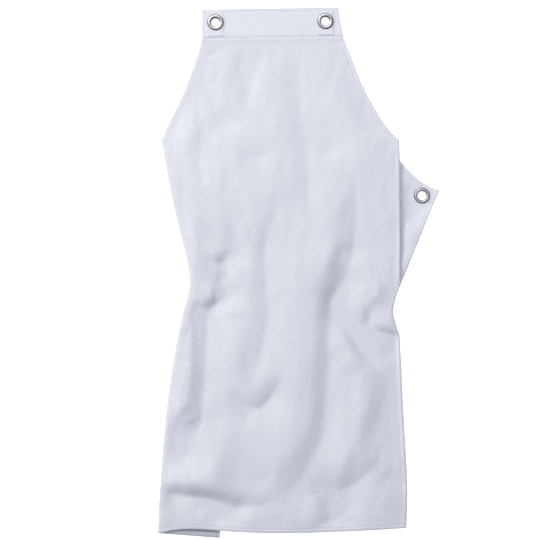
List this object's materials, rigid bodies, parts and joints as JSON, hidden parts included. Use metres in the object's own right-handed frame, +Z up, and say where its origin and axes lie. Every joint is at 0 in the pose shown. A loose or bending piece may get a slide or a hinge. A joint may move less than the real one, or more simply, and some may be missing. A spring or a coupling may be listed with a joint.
{
  "type": "work apron",
  "caption": "Plain white bib apron laid flat with its sides turned under, a bound bib top and empty metal eyelets at the bib corners and side tabs.",
  "frame": {"origin": "on the table, under the middle of the laid apron's box", "axes": "+Y from the hem to the bib along the apron, +Z up from the table, +X to the right as it is seen from above"},
  "size_m": [0.479, 0.9038, 0.0237],
  "materials": {
    "cloth": "matt white cotton twill",
    "metal": "bright nickel plate"
  },
  "bodies": {
    "root": {"apron_panel": "cloth", "bib_band": "cloth", "eyelet_patch_left": "cloth", "eyelet_patch_right": "cloth", "eyelet_bib_left": "metal", "washer_bib_left": "metal", "eyelet_bib_right": "metal", "washer_bib_right": "metal", "eyelet_tab_right": "metal", "washer_tab_right": "metal", "eyelet_tab_left": "metal", "washer_tab_left": "metal"}
  },
  "joints": []
}
